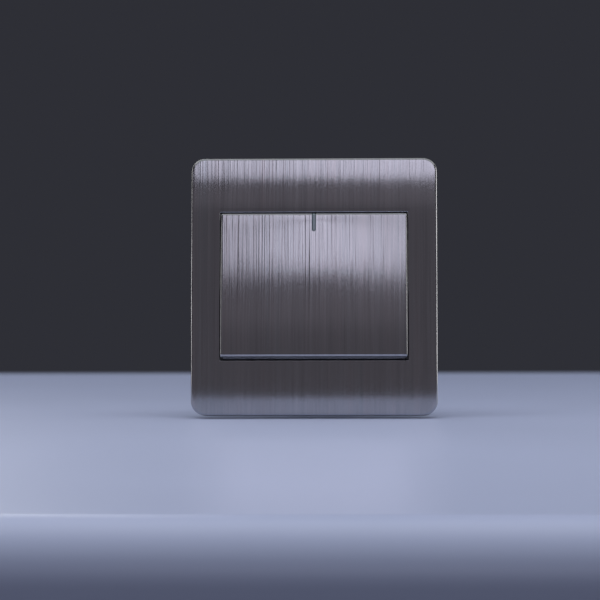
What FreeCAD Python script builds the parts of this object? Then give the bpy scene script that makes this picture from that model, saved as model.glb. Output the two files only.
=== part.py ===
import FreeCAD, Part
import math
import os

# Rocker wall switch, in millimetres. X is to the right, +Z is up, and the face looks along -Y.
# The wall's surface is the plane y = 0, and the origin is midway between the two fixing slots.
# The rocker, its plunger and the contact see-saw are drawn level and then turned to rest:
# the rocker's lower end stands out, its upper end is pressed in.

V = FreeCAD.Vector
X_DIR = V(1, 0, 0)
Y_DIR = V(0, 1, 0)
Z_DIR = V(0, 0, 1)

# ---- plate: the brushed metal skin on its plastic carrier ----
plate_w = 86.0
plate_h = 90.0
plate_rise = 9.5            # from the wall to the crown of the arch
plate_arch_r = 650.0
plate_corner_r = 5.0
plate_edge_roll = 0.8
trim_t = 0.6
trim_return_y = -2.5        # the skin's return stops here, on the carrier's step
carrier_wall = 1.8
carrier_gap = 0.05          # skin to carrier
opening_w = 65.5
opening_h = 51.7
opening_corner_r = 0.25
opening_bevel = 0.25
collar_relief_x = 0.25      # the carrier's collar stands back from the skin's opening
collar_relief_z = 0.45
collar_wall = 1.4
collar_corner_r = 1.5
collar_rear_y = -3.8
hook_root = 2.6             # the hooks start this far behind the crown, inside the front wall

# ---- rocker ----
rocker_gap = 0.25           # rocker to opening, all round
rocker_travel = 9.0         # degrees, from one stop to the other
pivot_y = -5.0
rocker_face_r = 2400.0
rocker_lip_r = 1.0
rocker_skin_t = 0.5
rocker_skin_end_flange = 3.4
rocker_skin_side_flange = 1.8
rocker_skin_notch = 1.0
rocker_wall = 1.6
rocker_rear_y = -5.6
lens_w = 1.3
lens_len = 6.9
lens_sunk = 0.12
lens_fit = 0.05
lens_stem = 1.6             # how far the lens reaches past the cap's inner face
cap_hook_x = 8.0            # middle of each clip that holds the cap on the cradle
cap_hook_w = 6.0
cap_hook_t = 1.2
cap_hook_bite = 0.6
cap_hook_fit = 0.1
cap_hook_tail = 1.2
cap_pad_x = 10.5
cap_pad_w = 3.0
cap_pad_z = 7.5
cap_pad_h = 5.0
cap_pad_t = 0.2
cap_rib_x = 21.5
cap_rib_t = 1.0
cap_rib_half_h = 22.0
cap_rib_deep = 1.6
root = 0.4                  # ribs, pads and clips start this far inside the wall they grow from

# ---- cradle, axles and plunger ----
cradle_half_w = 15.8
cradle_half_h = 12.0
cradle_t = 1.6
cradle_hub_r = 1.9
cradle_rib_x = 8.0
cradle_rib_t = 1.2
cradle_rib_half_h = 8.0
axle_r = 1.5
axle_fit = 0.05
axle_len = 3.2
tube_r = 3.2
tube_len = 10.5             # from the pivot to the tube's mouth
plunger_r = 2.25
plunger_fit = 0.05
plunger_back = 5.5          # from the pivot to the plunger's back face
plunger_tip_r = 1.5
plunger_taper = 1.0
plunger_tip_gap = 0.1       # tip to see-saw with the rocker level
spring_wire_r = 0.2
spring_mean_r = 1.15
spring_turns = 7
spring_seat_len = 9.5       # from the pivot to the bottom of the plunger's bore
spring_bore_r = 1.5
spring_end_gap = 0.05

# ---- support yoke ----
yoke_w = 72.0
yoke_h = 76.0
yoke_t = 1.2
yoke_corner_r = 4.0
yoke_cut_w = 28.2
yoke_cut_h = 42.2
yoke_cut_r = 1.5
fixing_centres = 60.3
fixing_slot_len = 7.0
fixing_slot_w = 4.0
hook_x = 15.0
hook_w = 6.0
hook_t = 1.4
hook_z = 33.0               # inner face of the hook's leg
hook_barb = 0.8
hook_tail = 1.4             # the leg ends this far behind the wall's surface, in the wall box
hook_play = 0.1
hook_room = 0.35

# ---- mechanism ----
housing_w = 42.0
housing_h = 52.0
housing_depth = 22.0
housing_wall = 1.6
housing_rear_t = 1.8
housing_corner_r = 2.0
mech_cover_t = 1.6
mech_cover_margin = 0.5     # the flange is this much wider than the housing
mech_cover_h = 47.0
spigot_fit = 0.1
spigot_len = 2.2
ear_t = 3.3
ear_r = 3.0
ear_gap = 0.3
tube_room = 0.4             # round the plunger's tube, in the cover's window
stop_x = 13.2               # four posts that stop the cradle at each end of its travel
stop_w = 2.0
stop_z = 10.0
stop_h = 2.0
stop_gap = 0.12
housing_screw_x = 17.2
screw_to_rocker = 2.3
screw_shank_r = 1.1
screw_hole_r = 1.4
screw_head_r = 2.2
screw_head_t = 1.5
screw_len = 8.0
screw_head_edge = 0.7
cross_len = 2.6
cross_w = 0.5
cross_deep = 0.9
thread_fit = 0.03
boss_r = 2.4
boss_len = 9.0
boss_floor = 1.5

# ---- contacts and terminals ----
fulcrum_y = 10.4
fulcrum_r = 0.7
fulcrum_fit = 0.1
bridge_tilt = 8.0           # degrees, each way from level
bridge_half_w = 2.6
bridge_half_h = 12.6
bridge_t = 0.8
bridge_web = 0.5            # metal in front of the saddle's trough
saddle_half_h = 1.7
saddle_lip = 0.2
fulcrum_web = 0.9
contact_z = 11.0
contact_r = 1.6
contact_dome_r = 3.5
contact_rise = 1.0
contact_shank_r = 0.8
contact_shank_fit = 0.02
contact_peen = 0.4
contact_peen_t = 0.3
contact_closed_gap = 0.04
fixed_contact_r = 1.8
fixed_contact_t = 0.8
strip_t = 0.8
strip_w = 6.0
strip_half_h = 2.4
strip_nose = 2.6            # how far terminal L1's strip passes the contact's centre
block_w = 7.0
block_h = 7.5
block_z = 19.5
block_x = 9.0
wire_bore_r = 1.7
wire_entry_r = 2.1
wire_funnel = 0.8
post_half_w = 3.6
fulcrum_post_half_h = 3.0
contact_post_half_h = 2.0
rib_t = 0.9
rib_fit = 0.1
rib_start = 0.3
clamp_r = 1.45
clamp_fit = 0.05
clamp_tip = 2.0             # from the wire bore's axis, so the bore stays clear
clamp_clear = 0.65          # under the head, to the block
clamp_head_r = 2.3
clamp_head_t = 2.0
clamp_slot_w = 0.7
clamp_slot_deep = 0.8
clamp_access_fit = 0.3
earth_x = 27.0
earth_z = -20.0
earth_depth = 7.0
earth_floor = 1.5
earth_spigot_r = 1.5
earth_peen = 0.9
earth_peen_t = 0.6

# ---- locator lamp ----
lamp_y = 4.6
lamp_z = 17.6
lamp_r = 2.0
lamp_len = 9.0
lamp_fit = 0.1
lamp_pinch_r = 0.7
lamp_pinch = 0.6
lamp_window_w = 11.0
lamp_window_room = 0.2
tray_half_w = 3.6
tray_wall = 0.8
tray_t = 1.2
leg_x = 5.6
leg_t = 1.2
leg_h = 1.9
resistor_x = 9.5
resistor_r = 1.1
resistor_top = 12.0
resistor_len = 6.5
resistor_cap = 1.6
resistor_waist = 0.2
lead_r = 0.25
lead_bend = 1.0
lead_x = 7.5
tab_half_h = 1.5

# ---- worked out from the sizes above ----
half_travel = rocker_travel / 2
rim_y = -(plate_rise - (plate_arch_r - math.sqrt(plate_arch_r ** 2 - (opening_h / 2) ** 2)))
end_half = opening_h / 2 - rocker_gap
end_r = math.hypot(end_half, pivot_y - rim_y)
corner_angle = math.asin((pivot_y - rim_y) / end_r) + math.radians(half_travel)
corner_y = pivot_y - end_r * math.sin(corner_angle)
corner_z = end_r * math.cos(corner_angle)
face_sag = rocker_face_r - math.sqrt(rocker_face_r ** 2 - corner_z ** 2)
face_crown_y = corner_y - face_sag
rocker_half_w = opening_w / 2 - rocker_gap
ceiling_y = face_crown_y + rocker_skin_t + rocker_wall
housing_screw_z = end_half - rocker_skin_t - rocker_wall - screw_to_rocker - screw_head_r
cradle_front_y = ceiling_y + cap_pad_t
cradle_back_y = cradle_front_y + cradle_t
saddle_h = fulcrum_r + fulcrum_fit + bridge_web
tip_len = fulcrum_y - saddle_h - plunger_tip_gap - pivot_y
tilt = math.radians(bridge_tilt)
dome_y = -(saddle_h - bridge_t) + contact_rise - contact_dome_r
closed_y = fulcrum_y + dome_y * math.cos(tilt) + contact_z * math.sin(tilt) + contact_dome_r
closed_z = contact_z * math.cos(tilt) - dome_y * math.sin(tilt)
fixed_face_y = closed_y + contact_closed_gap
strip_y = fixed_face_y + fixed_contact_t
block_y = strip_y + strip_t
floor_y = housing_depth - housing_rear_t
bridge_front_y = fulcrum_y - saddle_h
wall_in_z = housing_h / 2 - housing_wall
clamp_y = (block_y + floor_y) / 2
earth_clamp_y = (earth_floor + earth_depth) / 2
clamp_len = block_h / 2 + clamp_clear - clamp_tip
cover_front_y = -yoke_t - mech_cover_t
block_far = block_z + block_h / 2 - 0.2
block_near = block_z - block_h / 2

PIVOT = V(0, pivot_y, 0)
FULCRUM = V(0, fulcrum_y, 0)


# ---- shapes ----
def box(x0, x1, y0, y1, z0, z1):
    return Part.makeBox(x1 - x0, y1 - y0, z1 - z0, V(x0, y0, z0))


def block_at(cx, cz, width, height, y0, y1):
    """A block centred at a point in X and Z."""
    return box(cx - width / 2, cx + width / 2, y0, y1, cz - height / 2, cz + height / 2)


def rod(radius, start, end):
    """A round bar from one point to another."""
    run = end - start
    return Part.makeCylinder(radius, run.Length, start, run)


def cone(r0, r1, start, end):
    run = end - start
    return Part.makeCone(r0, r1, run.Length, start, run)


def fused(shapes):
    """One solid from many."""
    whole = shapes[0]
    if len(shapes) > 1:
        whole = whole.fuse(shapes[1:])
    return whole.removeSplitter()


def mirrored_x(shape):
    return shape.mirror(V(0, 0, 0), X_DIR)


def mirrored_z(shape):
    return shape.mirror(V(0, 0, 0), Z_DIR)


def four_ways(shape):
    """A shape and its copies left to right and top to bottom."""
    pair = [shape, mirrored_x(shape)]
    return pair + [mirrored_z(s) for s in pair]


def slab(width, height, corner_r, y0, y1):
    """A plate with round corners, centred on the Y axis, from y0 to y1."""
    w = width / 2
    h = height / 2
    body = box(-w, w, y0, y1, -h, h)
    if corner_r <= 0:
        return body
    corners = [e for e in body.Edges if abs(e.tangentAt(e.FirstParameter).y) > 0.99]
    return body.makeFillet(corner_r, corners)


def slot(cx, cz, length, width, y0, y1):
    """A round-ended slot along X."""
    r = width / 2
    a = length / 2 - r
    ends = [rod(r, V(cx + s * a, y0, cz), V(cx + s * a, y1, cz)) for s in (-1, 1)]
    return fused([box(cx - a, cx + a, y0, y1, cz - r, cz + r)] + ends)


def outline_prism(points, y0, y1):
    """A straight-sided outline in X and Z, carried from y0 to y1."""
    corners = [V(x, y0, z) for x, z in points]
    face = Part.Face(Part.makePolygon(corners + corners[:1]))
    return face.extrude(V(0, y1 - y0, 0))


def arched_plate(inset, rear_y):
    """The plate's outer form, moved in by inset on every side: a slab under a shallow arch."""
    radius = plate_arch_r - inset
    crown = -plate_rise + inset
    reach = plate_h
    edge_y = crown + radius - math.sqrt(radius ** 2 - reach ** 2)
    front = Part.Arc(V(0, edge_y, -reach), V(0, crown, 0), V(0, edge_y, reach)).toShape()
    sides = Part.makePolygon([V(0, edge_y, reach), V(0, rear_y, reach),
                              V(0, rear_y, -reach), V(0, edge_y, -reach)])
    face = Part.Face(Part.Wire([front] + sides.Edges))
    arch = face.extrude(V(2 * plate_w, 0, 0))
    arch.translate(V(-plate_w, 0, 0))
    outline = slab(plate_w - 2 * inset, plate_h - 2 * inset, plate_corner_r - inset,
                   -2 * plate_rise, rear_y)
    block = outline.common(arch)
    front_face = max((f for f in block.Faces if f.CenterOfMass.y < -plate_rise / 2),
                     key=lambda f: f.Area)
    return block.makeFillet(max(plate_edge_roll - inset, 0.15), front_face.OuterWire.Edges)


def rocker_form(inset, rear_y):
    """The rocker's outer form, level, moved in by inset: a shallow crowned face between two end
    walls that are arcs about the pivot, so the gap to the opening stays the same as it rocks."""
    radius = end_r - inset
    face_r = rocker_face_r - inset
    crown = face_crown_y + inset
    centre = crown + face_r
    # where the face's circle meets the end walls' circle
    d = centre - pivot_y
    along = (d ** 2 + radius ** 2 - face_r ** 2) / (2 * d)
    meet_y = pivot_y + along
    meet_z = math.sqrt(radius ** 2 - along ** 2)
    rear_z = math.sqrt(radius ** 2 - (rear_y - pivot_y) ** 2)
    mid = (math.atan2(meet_z, meet_y - pivot_y) + math.atan2(rear_z, rear_y - pivot_y)) / 2
    mid_y = pivot_y + radius * math.cos(mid)
    mid_z = radius * math.sin(mid)
    edges = [
        Part.Arc(V(0, meet_y, -meet_z), V(0, crown, 0), V(0, meet_y, meet_z)).toShape(),
        Part.Arc(V(0, meet_y, meet_z), V(0, mid_y, mid_z), V(0, rear_y, rear_z)).toShape(),
        Part.makeLine(V(0, rear_y, rear_z), V(0, rear_y, -rear_z)),
        Part.Arc(V(0, rear_y, -rear_z), V(0, mid_y, -mid_z), V(0, meet_y, -meet_z)).toShape(),
    ]
    half_w = rocker_half_w - inset
    body = Part.Face(Part.Wire(edges)).extrude(V(2 * half_w, 0, 0))
    body.translate(V(-half_w, 0, 0))
    lips = [e for e in body.Edges
            if abs(e.CenterOfMass.x) < 1e-6 and e.CenterOfMass.y < (meet_y + rear_y) / 2]
    return body.makeFillet(max(rocker_lip_r - inset, 0.3), lips)


def rocker_at_rest(shape):
    turned = shape.copy()
    turned.rotate(PIVOT, X_DIR, -half_travel)
    return turned


def bridge_at_rest(shape):
    turned = shape.copy()
    turned.rotate(FULCRUM, X_DIR, bridge_tilt)
    return turned


# ---- plate ----
def face_trim():
    shell = arched_plate(0, trim_return_y).cut(arched_plate(trim_t, trim_return_y + 1))
    hole = slab(opening_w, opening_h, opening_corner_r, -2 * plate_rise, 0)
    bevelled = slab(opening_w + 2 * opening_bevel, opening_h + 2 * opening_bevel,
                    opening_corner_r + opening_bevel, -2 * plate_rise, 0)
    # the bevel follows the arch: only what lies within opening_bevel of the front face goes
    rim = bevelled.cut(arched_plate(opening_bevel, 1))
    return shell.cut(hole).cut(rim)


def hook():
    """One snap hook of the carrier, at the upper right."""
    x0 = hook_x - hook_w / 2
    leg = box(x0, x0 + hook_w, hook_root - plate_rise, hook_tail, hook_z, hook_z + hook_t)
    z0 = hook_z + hook_t
    nose = [V(x0, hook_play, z0 - 0.2), V(x0, hook_play, z0 + hook_barb), V(x0, hook_tail, z0 - 0.2)]
    barb = Part.Face(Part.makePolygon(nose + nose[:1])).extrude(V(hook_w, 0, 0))
    return leg.fuse(barb)


def cover_frame():
    inset = trim_t + carrier_gap
    shell = arched_plate(inset, 0)
    step = slab(plate_w, plate_h, plate_corner_r, trim_return_y + carrier_gap, 0)
    hollow = arched_plate(inset + carrier_wall, 1)
    body = shell.fuse(step).cut(hollow)
    inner_w = opening_w + 2 * collar_relief_x
    inner_h = opening_h + 2 * collar_relief_z
    collar = slab(inner_w + 2 * collar_wall, inner_h + 2 * collar_wall, collar_corner_r,
                  -2 * plate_rise, collar_rear_y).common(shell)
    hooks = [h.common(arched_plate(inset, hook_tail + 1)) for h in four_ways(hook())]
    body = body.fuse([collar] + hooks)
    return body.cut(slab(inner_w, inner_h, 0, -2 * plate_rise, 1)).removeSplitter()


# ---- rocker ----
def lens_slot(extra):
    """The slot's form: round at its lower end, open past the rocker's top edge."""
    r = lens_w / 2 + extra
    low = end_half - lens_len
    y0 = face_crown_y - 1
    y1 = ceiling_y + lens_stem
    return fused([box(-r, r, y0, y1, low + r, end_r + 2),
                  rod(r, V(0, y0, low + r), V(0, y1, low + r))])


def rocker_skin():
    shell = rocker_form(0, rocker_rear_y).cut(rocker_form(rocker_skin_t, rocker_rear_y + 1))
    side_y = corner_y + rocker_skin_side_flange
    end_y = corner_y + rocker_skin_end_flange
    far = 2 * rocker_half_w
    notch_x = rocker_half_w - rocker_skin_notch
    notch_y = corner_y + rocker_skin_notch
    # end flanges stop at end_y, side flanges at side_y, and the four corners are notched
    kept_ends = shell.common(box(-notch_x, notch_x, 4 * corner_y, end_y, -far, far))
    sides = shell.common(box(-far, far, 4 * corner_y, side_y, -corner_z + 1, corner_z - 1))
    front = shell.common(box(-far, far, 4 * corner_y, notch_y, -far, far))
    return fused([kept_ends, sides, front]).cut(lens_slot(lens_fit))


def rocker_cap():
    shell = rocker_form(rocker_skin_t, rocker_rear_y)
    inner = rocker_form(rocker_skin_t + rocker_wall, rocker_rear_y + 1)
    body = shell.cut(inner)
    # below the skin's flanges the wall comes out flush with them
    band_y = corner_y + rocker_skin_end_flange + 0.1
    far = 2 * rocker_half_w
    outer = rocker_form(0, rocker_rear_y).cut(rocker_form(rocker_skin_t, rocker_rear_y + 1))
    band = outer.common(box(-far, far, band_y, 0, -far, far))
    pads = four_ways(block_at(cap_pad_x, cap_pad_z, cap_pad_w, cap_pad_h,
                              ceiling_y - root, cradle_front_y))
    x0 = cap_hook_x - cap_hook_w / 2
    x1 = x0 + cap_hook_w
    tail = cradle_back_y + cap_hook_tail
    inner_z = cradle_half_h + cap_hook_fit
    leg = box(x0, x1, ceiling_y - root, tail, inner_z, inner_z + cap_hook_t)
    barb = box(x0, x1, cradle_back_y + cap_hook_fit / 2, tail,
               cradle_half_h - cap_hook_bite, inner_z + 0.1)
    hooks = [h.common(shell) for h in four_ways(leg.fuse(barb))]
    rib = box(cap_rib_x, cap_rib_x + cap_rib_t, ceiling_y - root, ceiling_y + cap_rib_deep,
              -cap_rib_half_h, cap_rib_half_h)
    body = body.fuse([band] + pads + hooks + [r.common(shell) for r in (rib, mirrored_x(rib))])
    return body.cut(lens_slot(lens_fit)).removeSplitter()


def indicator_lens():
    return rocker_form(lens_sunk, rocker_rear_y + 1).common(lens_slot(0))


def rocker_cradle():
    into = cradle_back_y - 0.1
    plate = box(-cradle_half_w, cradle_half_w, cradle_front_y, cradle_back_y,
                -cradle_half_h, cradle_half_h)
    web = box(-cradle_half_w, cradle_half_w, into, pivot_y, -cradle_hub_r, cradle_hub_r)
    hub = rod(cradle_hub_r, V(-cradle_half_w, pivot_y, 0), V(cradle_half_w, pivot_y, 0))
    reach = cradle_half_w + ear_gap + axle_len
    axle = rod(axle_r, V(-reach, pivot_y, 0), V(reach, pivot_y, 0))
    tube = rod(tube_r, V(0, into, 0), V(0, pivot_y + tube_len, 0))
    ribs = [block_at(s * cradle_rib_x, 0, cradle_rib_t, 2 * cradle_rib_half_h,
                     into, pivot_y - 0.5) for s in (-1, 1)]
    bore = rod(plunger_r + plunger_fit, PIVOT, V(0, pivot_y + tube_len + 1, 0))
    return fused([plate, web, hub, axle, tube] + ribs).cut(bore)


def plunger():
    back = pivot_y + plunger_back
    ball = pivot_y + tip_len - plunger_tip_r
    body = fused([
        rod(plunger_r, V(0, back, 0), V(0, ball - plunger_taper, 0)),
        cone(plunger_r, plunger_tip_r, V(0, ball - plunger_taper, 0), V(0, ball, 0)),
        Part.makeSphere(plunger_tip_r, V(0, ball, 0)),
    ])
    return body.cut(rod(spring_bore_r, V(0, back - 1, 0), V(0, pivot_y + spring_seat_len, 0)))


def plunger_spring():
    free = spring_seat_len - 2 * (spring_wire_r + spring_end_gap)
    pitch = free / spring_turns
    helix = Part.makeHelix(pitch, free, spring_mean_r)
    along = V(0, 2 * math.pi * spring_mean_r, pitch)
    ring = Part.makeCircle(spring_wire_r, V(spring_mean_r, 0, 0), along)
    coil = Part.Wire(helix.Edges).makePipeShell([Part.Wire([ring])], True, True)
    coil.rotate(V(0, 0, 0), X_DIR, -90)
    coil.translate(V(0, pivot_y + spring_wire_r + spring_end_gap, 0))
    return coil


# ---- yoke ----
def support_yoke():
    plate = slab(yoke_w, yoke_h, yoke_corner_r, -yoke_t, 0)
    cuts = [slab(yoke_cut_w, yoke_cut_h, yoke_cut_r, -2 * yoke_t, 1)]
    for side in (-1, 1):
        cuts.append(slot(side * fixing_centres / 2, 0, fixing_slot_len, fixing_slot_w,
                         -2 * yoke_t, 1))
    z0 = hook_z - hook_room
    x0 = hook_x - hook_w / 2 - hook_room
    window = box(x0, x0 + hook_w + 2 * hook_room, -2 * yoke_t, 1,
                 z0, hook_z + hook_t + hook_room)
    hole = rod(screw_hole_r, V(housing_screw_x, -2 * yoke_t, housing_screw_z),
               V(housing_screw_x, 1, housing_screw_z))
    cuts += four_ways(window) + four_ways(hole)
    cuts.append(rod(earth_spigot_r + thread_fit, V(earth_x, -2 * yoke_t, earth_z),
                    V(earth_x, 1, earth_z)))
    return plate.cut(cuts)


def clamp_screw(x, y, z, side):
    """A slotted clamp screw along Z, backed out clear of the wire bore, head on the given side."""
    tip = V(x, y, z + side * clamp_tip)
    under = V(x, y, z + side * (clamp_tip + clamp_len))
    top = V(x, y, z + side * (clamp_tip + clamp_len + clamp_head_t))
    body = fused([rod(clamp_r, tip, under), rod(clamp_head_r, under, top)])
    z0, z1 = sorted((top.z, top.z - side * clamp_slot_deep))
    return body.cut(box(x - clamp_head_r - 1, x + clamp_head_r + 1,
                        y - clamp_slot_w / 2, y + clamp_slot_w / 2, z0, z1))


def clamp_hole(x, y, z, side, radius):
    return rod(radius, V(x, y, z), V(x, y, z + side * 2 * block_h))


def earth_terminal():
    block = block_at(earth_x, earth_z, block_w, block_h, 0, earth_depth)
    spigot = rod(earth_spigot_r, V(earth_x, -yoke_t, earth_z), V(earth_x, 0.5, earth_z))
    peened = rod(earth_spigot_r + earth_peen, V(earth_x, -yoke_t - earth_peen_t, earth_z),
                 V(earth_x, -yoke_t, earth_z))
    bore = rod(wire_bore_r, V(earth_x, earth_floor, earth_z),
               V(earth_x, earth_depth + 1, earth_z))
    thread = clamp_hole(earth_x, earth_clamp_y, earth_z, -1, clamp_r + clamp_fit)
    return fused([block, spigot, peened]).cut([bore, thread])


# ---- mechanism ----
def terminal_places():
    """The three terminals, as (x, z, side of the clamp screw): two below and one above."""
    return [(-block_x, -block_z, -1), (block_x, -block_z, -1), (0, block_z, 1)]


def mechanism_housing():
    outer = slab(housing_w, housing_h, housing_corner_r, 0, housing_depth)
    inner = slab(housing_w - 2 * housing_wall, housing_h - 2 * housing_wall, 0.8, -1, floor_y)
    foot = floor_y + 0.1
    at = V(housing_screw_x, 0, housing_screw_z)
    adds = four_ways(rod(boss_r, at, at + V(0, boss_len, 0)))
    # posts under the fulcrum and behind the two fixed contacts
    adds.append(block_at(0, 0, 2 * post_half_w, 2 * fulcrum_post_half_h, block_y, foot))
    adds += [block_at(0, side * closed_z, 2 * post_half_w, 2 * contact_post_half_h, block_y, foot)
             for side in (-1, 1)]
    # ribs each side of every terminal block
    for x, z, side in terminal_places():
        z0, z1 = sorted((side * (block_near + rib_start), side * (wall_in_z + 0.1)))
        for hand in (-1, 1):
            face = x + hand * (block_w / 2 + rib_fit)
            x0, x1 = sorted((face, face + hand * rib_t))
            adds.append(box(x0, x1, block_y + rib_start, foot, z0, z1))
    body = outer.cut(inner).fuse(adds)
    pilot = rod(screw_shank_r + thread_fit, at, at + V(0, boss_len - boss_floor, 0))
    cuts = four_ways(pilot)
    for x, z, side in terminal_places():
        cuts.append(rod(wire_entry_r, V(x, floor_y - 0.01, z), V(x, housing_depth + 1, z)))
        cuts.append(cone(wire_entry_r, wire_entry_r + wire_funnel,
                         V(x, housing_depth - wire_funnel, z), V(x, housing_depth + 0.01, z)))
        access = clamp_head_r + clamp_access_fit
        cuts.append(rod(access, V(x, clamp_y, side * (wall_in_z - 0.5)),
                        V(x, clamp_y, side * housing_h)))
    return body.cut(cuts).removeSplitter()


def mechanism_cover():
    flange = slab(housing_w + 2 * mech_cover_margin, mech_cover_h, housing_corner_r,
                  cover_front_y, -yoke_t)
    spigot = slab(yoke_cut_w - 2 * spigot_fit, yoke_cut_h - 2 * spigot_fit,
                  yoke_cut_r - spigot_fit, -yoke_t, spigot_len - yoke_t)
    x0 = cradle_half_w + ear_gap
    ear = box(x0, x0 + ear_t, pivot_y, -yoke_t - 0.1, -ear_r, ear_r)
    ear = ear.fuse(rod(ear_r, V(x0, pivot_y, 0), V(x0 + ear_t, pivot_y, 0)))
    ear = ear.cut(rod(axle_r + axle_fit, V(x0 - 1, pivot_y, 0), V(x0 + ear_t + 1, pivot_y, 0)))
    # the cradle's back, at the outer edge of a stop, with that end pressed right in
    swung = math.radians(half_travel)
    edge_z = stop_z + stop_h / 2
    stop_y = (pivot_y + (cradle_back_y - pivot_y) * math.cos(swung)
              + edge_z * math.sin(swung) + stop_gap)
    stops = four_ways(block_at(stop_x, stop_z, stop_w, stop_h, stop_y, -yoke_t - 0.1))
    body = fused([flange, spigot, ear, mirrored_x(ear)] + stops)
    room_z = tube_r + math.sin(swung) * (spigot_len - yoke_t - pivot_y) + tube_room
    room_x = tube_r + tube_room
    lamp_half_h = lamp_r + lamp_window_room
    front = 2 * cover_front_y
    cuts = [box(-room_x, room_x, front, spigot_len, -room_z, room_z)]
    cuts.append(block_at(0, lamp_z, lamp_window_w, 2 * lamp_half_h, front, spigot_len))
    hole = rod(screw_hole_r, V(housing_screw_x, front, housing_screw_z),
               V(housing_screw_x, 0, housing_screw_z))
    return body.cut(cuts + four_ways(hole))


def housing_screw():
    """A pan-headed screw with a cross recess, at the upper right."""
    at = V(housing_screw_x, cover_front_y, housing_screw_z)
    head = rod(screw_head_r, at - V(0, screw_head_t, 0), at)
    rims = [e for e in head.Edges if e.CenterOfMass.y < cover_front_y - screw_head_t / 2
            and e.Closed and e.Curve.TypeId == "Part::GeomCircle"]
    head = head.makeFillet(screw_head_edge, rims)
    shank = rod(screw_shank_r, at, at + V(0, screw_len, 0))
    top = cover_front_y - screw_head_t
    cross = [block_at(at.x, at.z, w, h, top - 1, top + cross_deep)
             for w, h in ((cross_len, cross_w), (cross_w, cross_len))]
    return fused([head, shank]).cut(cross)


# ---- contacts and terminals ----
def contact_bridge():
    strip = box(-bridge_half_w, bridge_half_w, bridge_front_y, bridge_front_y + bridge_t,
                -bridge_half_h, bridge_half_h)
    saddle = block_at(0, 0, 2 * bridge_half_w, 2 * saddle_half_h,
                      bridge_front_y, fulcrum_y + saddle_lip)
    trough = rod(fulcrum_r + fulcrum_fit, V(-2 * bridge_half_w, fulcrum_y, 0),
                 V(2 * bridge_half_w, fulcrum_y, 0))
    shanks = [rod(contact_shank_r + contact_shank_fit, V(0, bridge_front_y - 1, s * contact_z),
                  V(0, fulcrum_y, s * contact_z)) for s in (-1, 1)]
    return fused([strip, saddle]).cut([trough] + shanks)


def moving_contact(side):
    z = side * contact_z
    back_y = bridge_front_y + bridge_t
    dome = Part.makeSphere(contact_dome_r, V(0, fulcrum_y + dome_y, z))
    head = rod(contact_r, V(0, back_y, z), V(0, back_y + 2, z)).common(dome)
    top_y = bridge_front_y - contact_peen_t
    shank = rod(contact_shank_r, V(0, top_y, z), V(0, back_y + 0.1, z))
    peened = rod(contact_shank_r + contact_peen, V(0, top_y, z), V(0, bridge_front_y, z))
    return fused([head, shank, peened])


def fixed_contact(side):
    z = side * closed_z
    head = rod(fixed_contact_r, V(0, fixed_face_y, z), V(0, strip_y, z))
    shank = rod(contact_shank_r, V(0, fixed_face_y, z), V(0, block_y, z))
    return fused([head, shank])


def contact_strip(points, side):
    """A brass strip with the hole that takes its fixed contact's shank."""
    strip = outline_prism(points, strip_y, block_y)
    z = side * closed_z
    return strip.cut(rod(contact_shank_r + contact_shank_fit, V(0, strip_y - 1, z),
                         V(0, block_y + 1, z)))


def terminal_l1():
    left = -block_x - strip_w / 2
    right = left + strip_w
    top = -closed_z + strip_half_h
    low = -closed_z - strip_half_h
    points = [(strip_nose, top), (left, top), (left, -block_far), (right, -block_far),
              (right, low), (strip_nose, low)]
    return contact_strip(points, -1)


def terminal_l2():
    w = strip_w / 2
    low = closed_z - strip_half_h
    tab = -lead_x - 1
    points = [(-w, low), (w, low), (w, block_far), (-w, block_far), (-w, lamp_z + tab_half_h),
              (tab, lamp_z + tab_half_h), (tab, lamp_z - tab_half_h), (-w, lamp_z - tab_half_h)]
    return contact_strip(points, 1)


def common_terminal():
    w = strip_w / 2
    h = strip_half_h
    points = [(-w, h), (block_x + w, h), (block_x + w, -block_far), (block_x - w, -block_far),
              (block_x - w, -h), (-w, -h)]
    base = outline_prism(points, strip_y, block_y)
    web = block_at(0, 0, 2 * bridge_half_w, fulcrum_web, fulcrum_y, strip_y + 0.1)
    nose = rod(fulcrum_r, V(-bridge_half_w, fulcrum_y, 0), V(bridge_half_w, fulcrum_y, 0))
    return fused([base, web, nose])


def terminal_block(x, z, side):
    block = block_at(x, z, block_w, block_h, block_y, floor_y)
    bore = rod(wire_bore_r, V(x, block_y - 1, z), V(x, floor_y + 1, z))
    return block.cut([bore, clamp_hole(x, clamp_y, z, side, clamp_r + clamp_fit)])


# ---- locator lamp ----
def neon_lamp():
    half = lamp_len / 2 - lamp_r
    a = V(-half, lamp_y, lamp_z)
    b = V(half, lamp_y, lamp_z)
    tube = fused([rod(lamp_r, a, b), Part.makeSphere(lamp_r, a), Part.makeSphere(lamp_r, b)])
    near = lamp_len / 2 - lamp_pinch
    far = lamp_len / 2 + lamp_pinch
    pinches = [rod(lamp_pinch_r, V(s * near, lamp_y, lamp_z), V(s * far, lamp_y, lamp_z))
               for s in (-1, 1)]
    return fused([tube] + pinches)


def lamp_holder():
    back = lamp_y + lamp_r + tray_t
    side_z = lamp_r + lamp_fit + tray_wall
    low = lamp_z - side_z - leg_h / 2
    tray = block_at(0, lamp_z, 2 * tray_half_w, 2 * side_z, lamp_y - tray_wall, back)
    foot = leg_x + leg_t / 2
    bar = box(-foot, foot, back - 2 * tray_wall, back, low, low + leg_h)
    legs = [box(s * leg_x - leg_t / 2, s * leg_x + leg_t / 2, back - tray_t, floor_y,
                low, low + leg_h) for s in (-1, 1)]
    seat = rod(lamp_r + lamp_fit, V(-lamp_len, lamp_y, lamp_z), V(lamp_len, lamp_y, lamp_z))
    return fused([tray, bar] + legs).cut(seat)


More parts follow.
